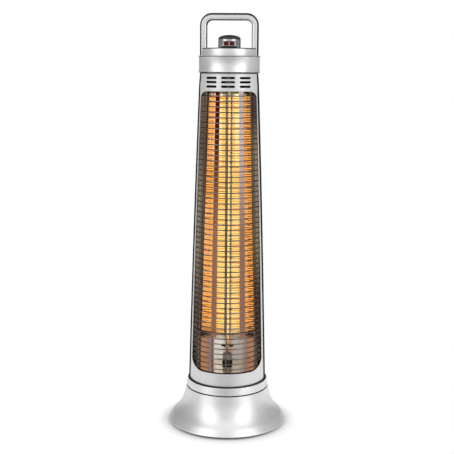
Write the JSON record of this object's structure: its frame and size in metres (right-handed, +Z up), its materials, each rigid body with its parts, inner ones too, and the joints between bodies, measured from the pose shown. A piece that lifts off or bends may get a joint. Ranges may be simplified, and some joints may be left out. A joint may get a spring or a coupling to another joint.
{
  "type": "infrared patio heater tower",
  "caption": "Free-standing infrared heater tower: flared round base, tapering body with a wire-guarded quartz lamp before a polished reflector, carrying handle, rocker switches on the lid.",
  "frame": {"origin": "on the floor, at the centre of the round base", "axes": "+Z up along the tower, -Y towards the front window, +X to the right seen from the front"},
  "size_m": [0.18, 0.18, 0.617],
  "materials": {
    "satin_silver": "satin lacquered",
    "silver_paint": "fine metallic satin paint",
    "polished_bar": "satin with bright edges",
    "bright_sheet": "bright polished",
    "chrome_wire": "bright plated",
    "steel": "zinc plated",
    "zinc_sheet": "galvanised",
    "cast_iron": "raw cast",
    "black_plastic": "fine grained",
    "gloss_black": "gloss",
    "black_rubber": "matte",
    "red_plastic": "gloss, translucent",
    "lamp_ceramic": "unglazed",
    "quartz": "clear quartz",
    "glowing_coil": "glowing carbon and metal coil",
    "lead_sheath": "silicone sheath"
  },
  "bodies": {
    "heater": {"ballast_ring": "cast_iron", "base_bell": "satin_silver", "base_plate": "black_plastic", "base_screw_1": "steel", "base_screw_2": "steel", "base_screw_3": "steel", "cable_gland": "black_plastic", "ceramic_lower": "lamp_ceramic", "ceramic_upper": "lamp_ceramic", "collar_gasket_lower": "black_rubber", "collar_gasket_upper": "black_rubber", "collar_ring": "satin_silver", "filament": "glowing_coil", "foot_1": "black_rubber", "foot_2": "black_rubber", "foot_3": "black_rubber", "foot_4": "black_rubber", "frame_bar": "polished_bar", "front_panel": "silver_paint", "gland_nut": "steel", "grille": "chrome_wire", "grille_support_hoop": "chrome_wire", "head_band": "satin_silver", "head_deck": "zinc_sheet", "head_gasket": "black_rubber", "head_lid": "satin_silver", "lamp_clamp_lower": "black_plastic", "lamp_clamp_upper": "black_plastic", "lamp_clip": "steel", "lamp_lead": "lead_sheath", "pod_cap": "gloss_black", "pod_shell": "satin_silver", "quartz_tube": "quartz", "rear_cover": "silver_paint", "reflector": "bright_sheet", "reflector_ceiling": "bright_sheet", "reflector_floor": "bright_sheet", "side_screw_1": "steel", "side_screw_2": "steel", "side_screw_3": "steel", "side_screw_4": "steel", "side_screw_5": "steel", "side_screw_6": "steel", "side_screw_7": "steel", "side_screw_8": "steel", "supply_lead": "lead_sheath", "switch_body_left": "black_plastic", "switch_body_right": "black_plastic", "switch_plate": "silver_paint", "switch_sill": "black_plastic", "terminal_block": "black_plastic", "thermal_cutout": "zinc_sheet", "tip_spring": "steel", "tip_switch_body": "black_plastic", "tower_bolt_1": "steel", "tower_bolt_2": "steel", "tower_disc": "zinc_sheet"},
    "rocker_left": {"rocker_left": "red_plastic"},
    "rocker_right": {"rocker_right": "red_plastic"},
    "plunger": {"tip_plunger": "red_plastic"}
  },
  "joints": [
    {"name": "rocker_left_tilt", "type": "hinge", "parent": "heater", "child": "rocker_left", "pos_m": [-0.0042, -0.012, 0.57325], "axis": [1, 0, 0], "range_deg": [0, 16]},
    {"name": "rocker_right_tilt", "type": "hinge", "parent": "heater", "child": "rocker_right", "pos_m": [0.0042, -0.012, 0.57325], "axis": [1, 0, 0], "range_deg": [0, 16]},
    {"name": "plunger_slide", "type": "slide", "parent": "heater", "child": "plunger", "axis": [0, 0, -1], "range_m": [0, 0.006], "stiffness_N_per_m": 150, "springref_m": 0.01, "deforming": ["tip_spring"]}
  ]
}
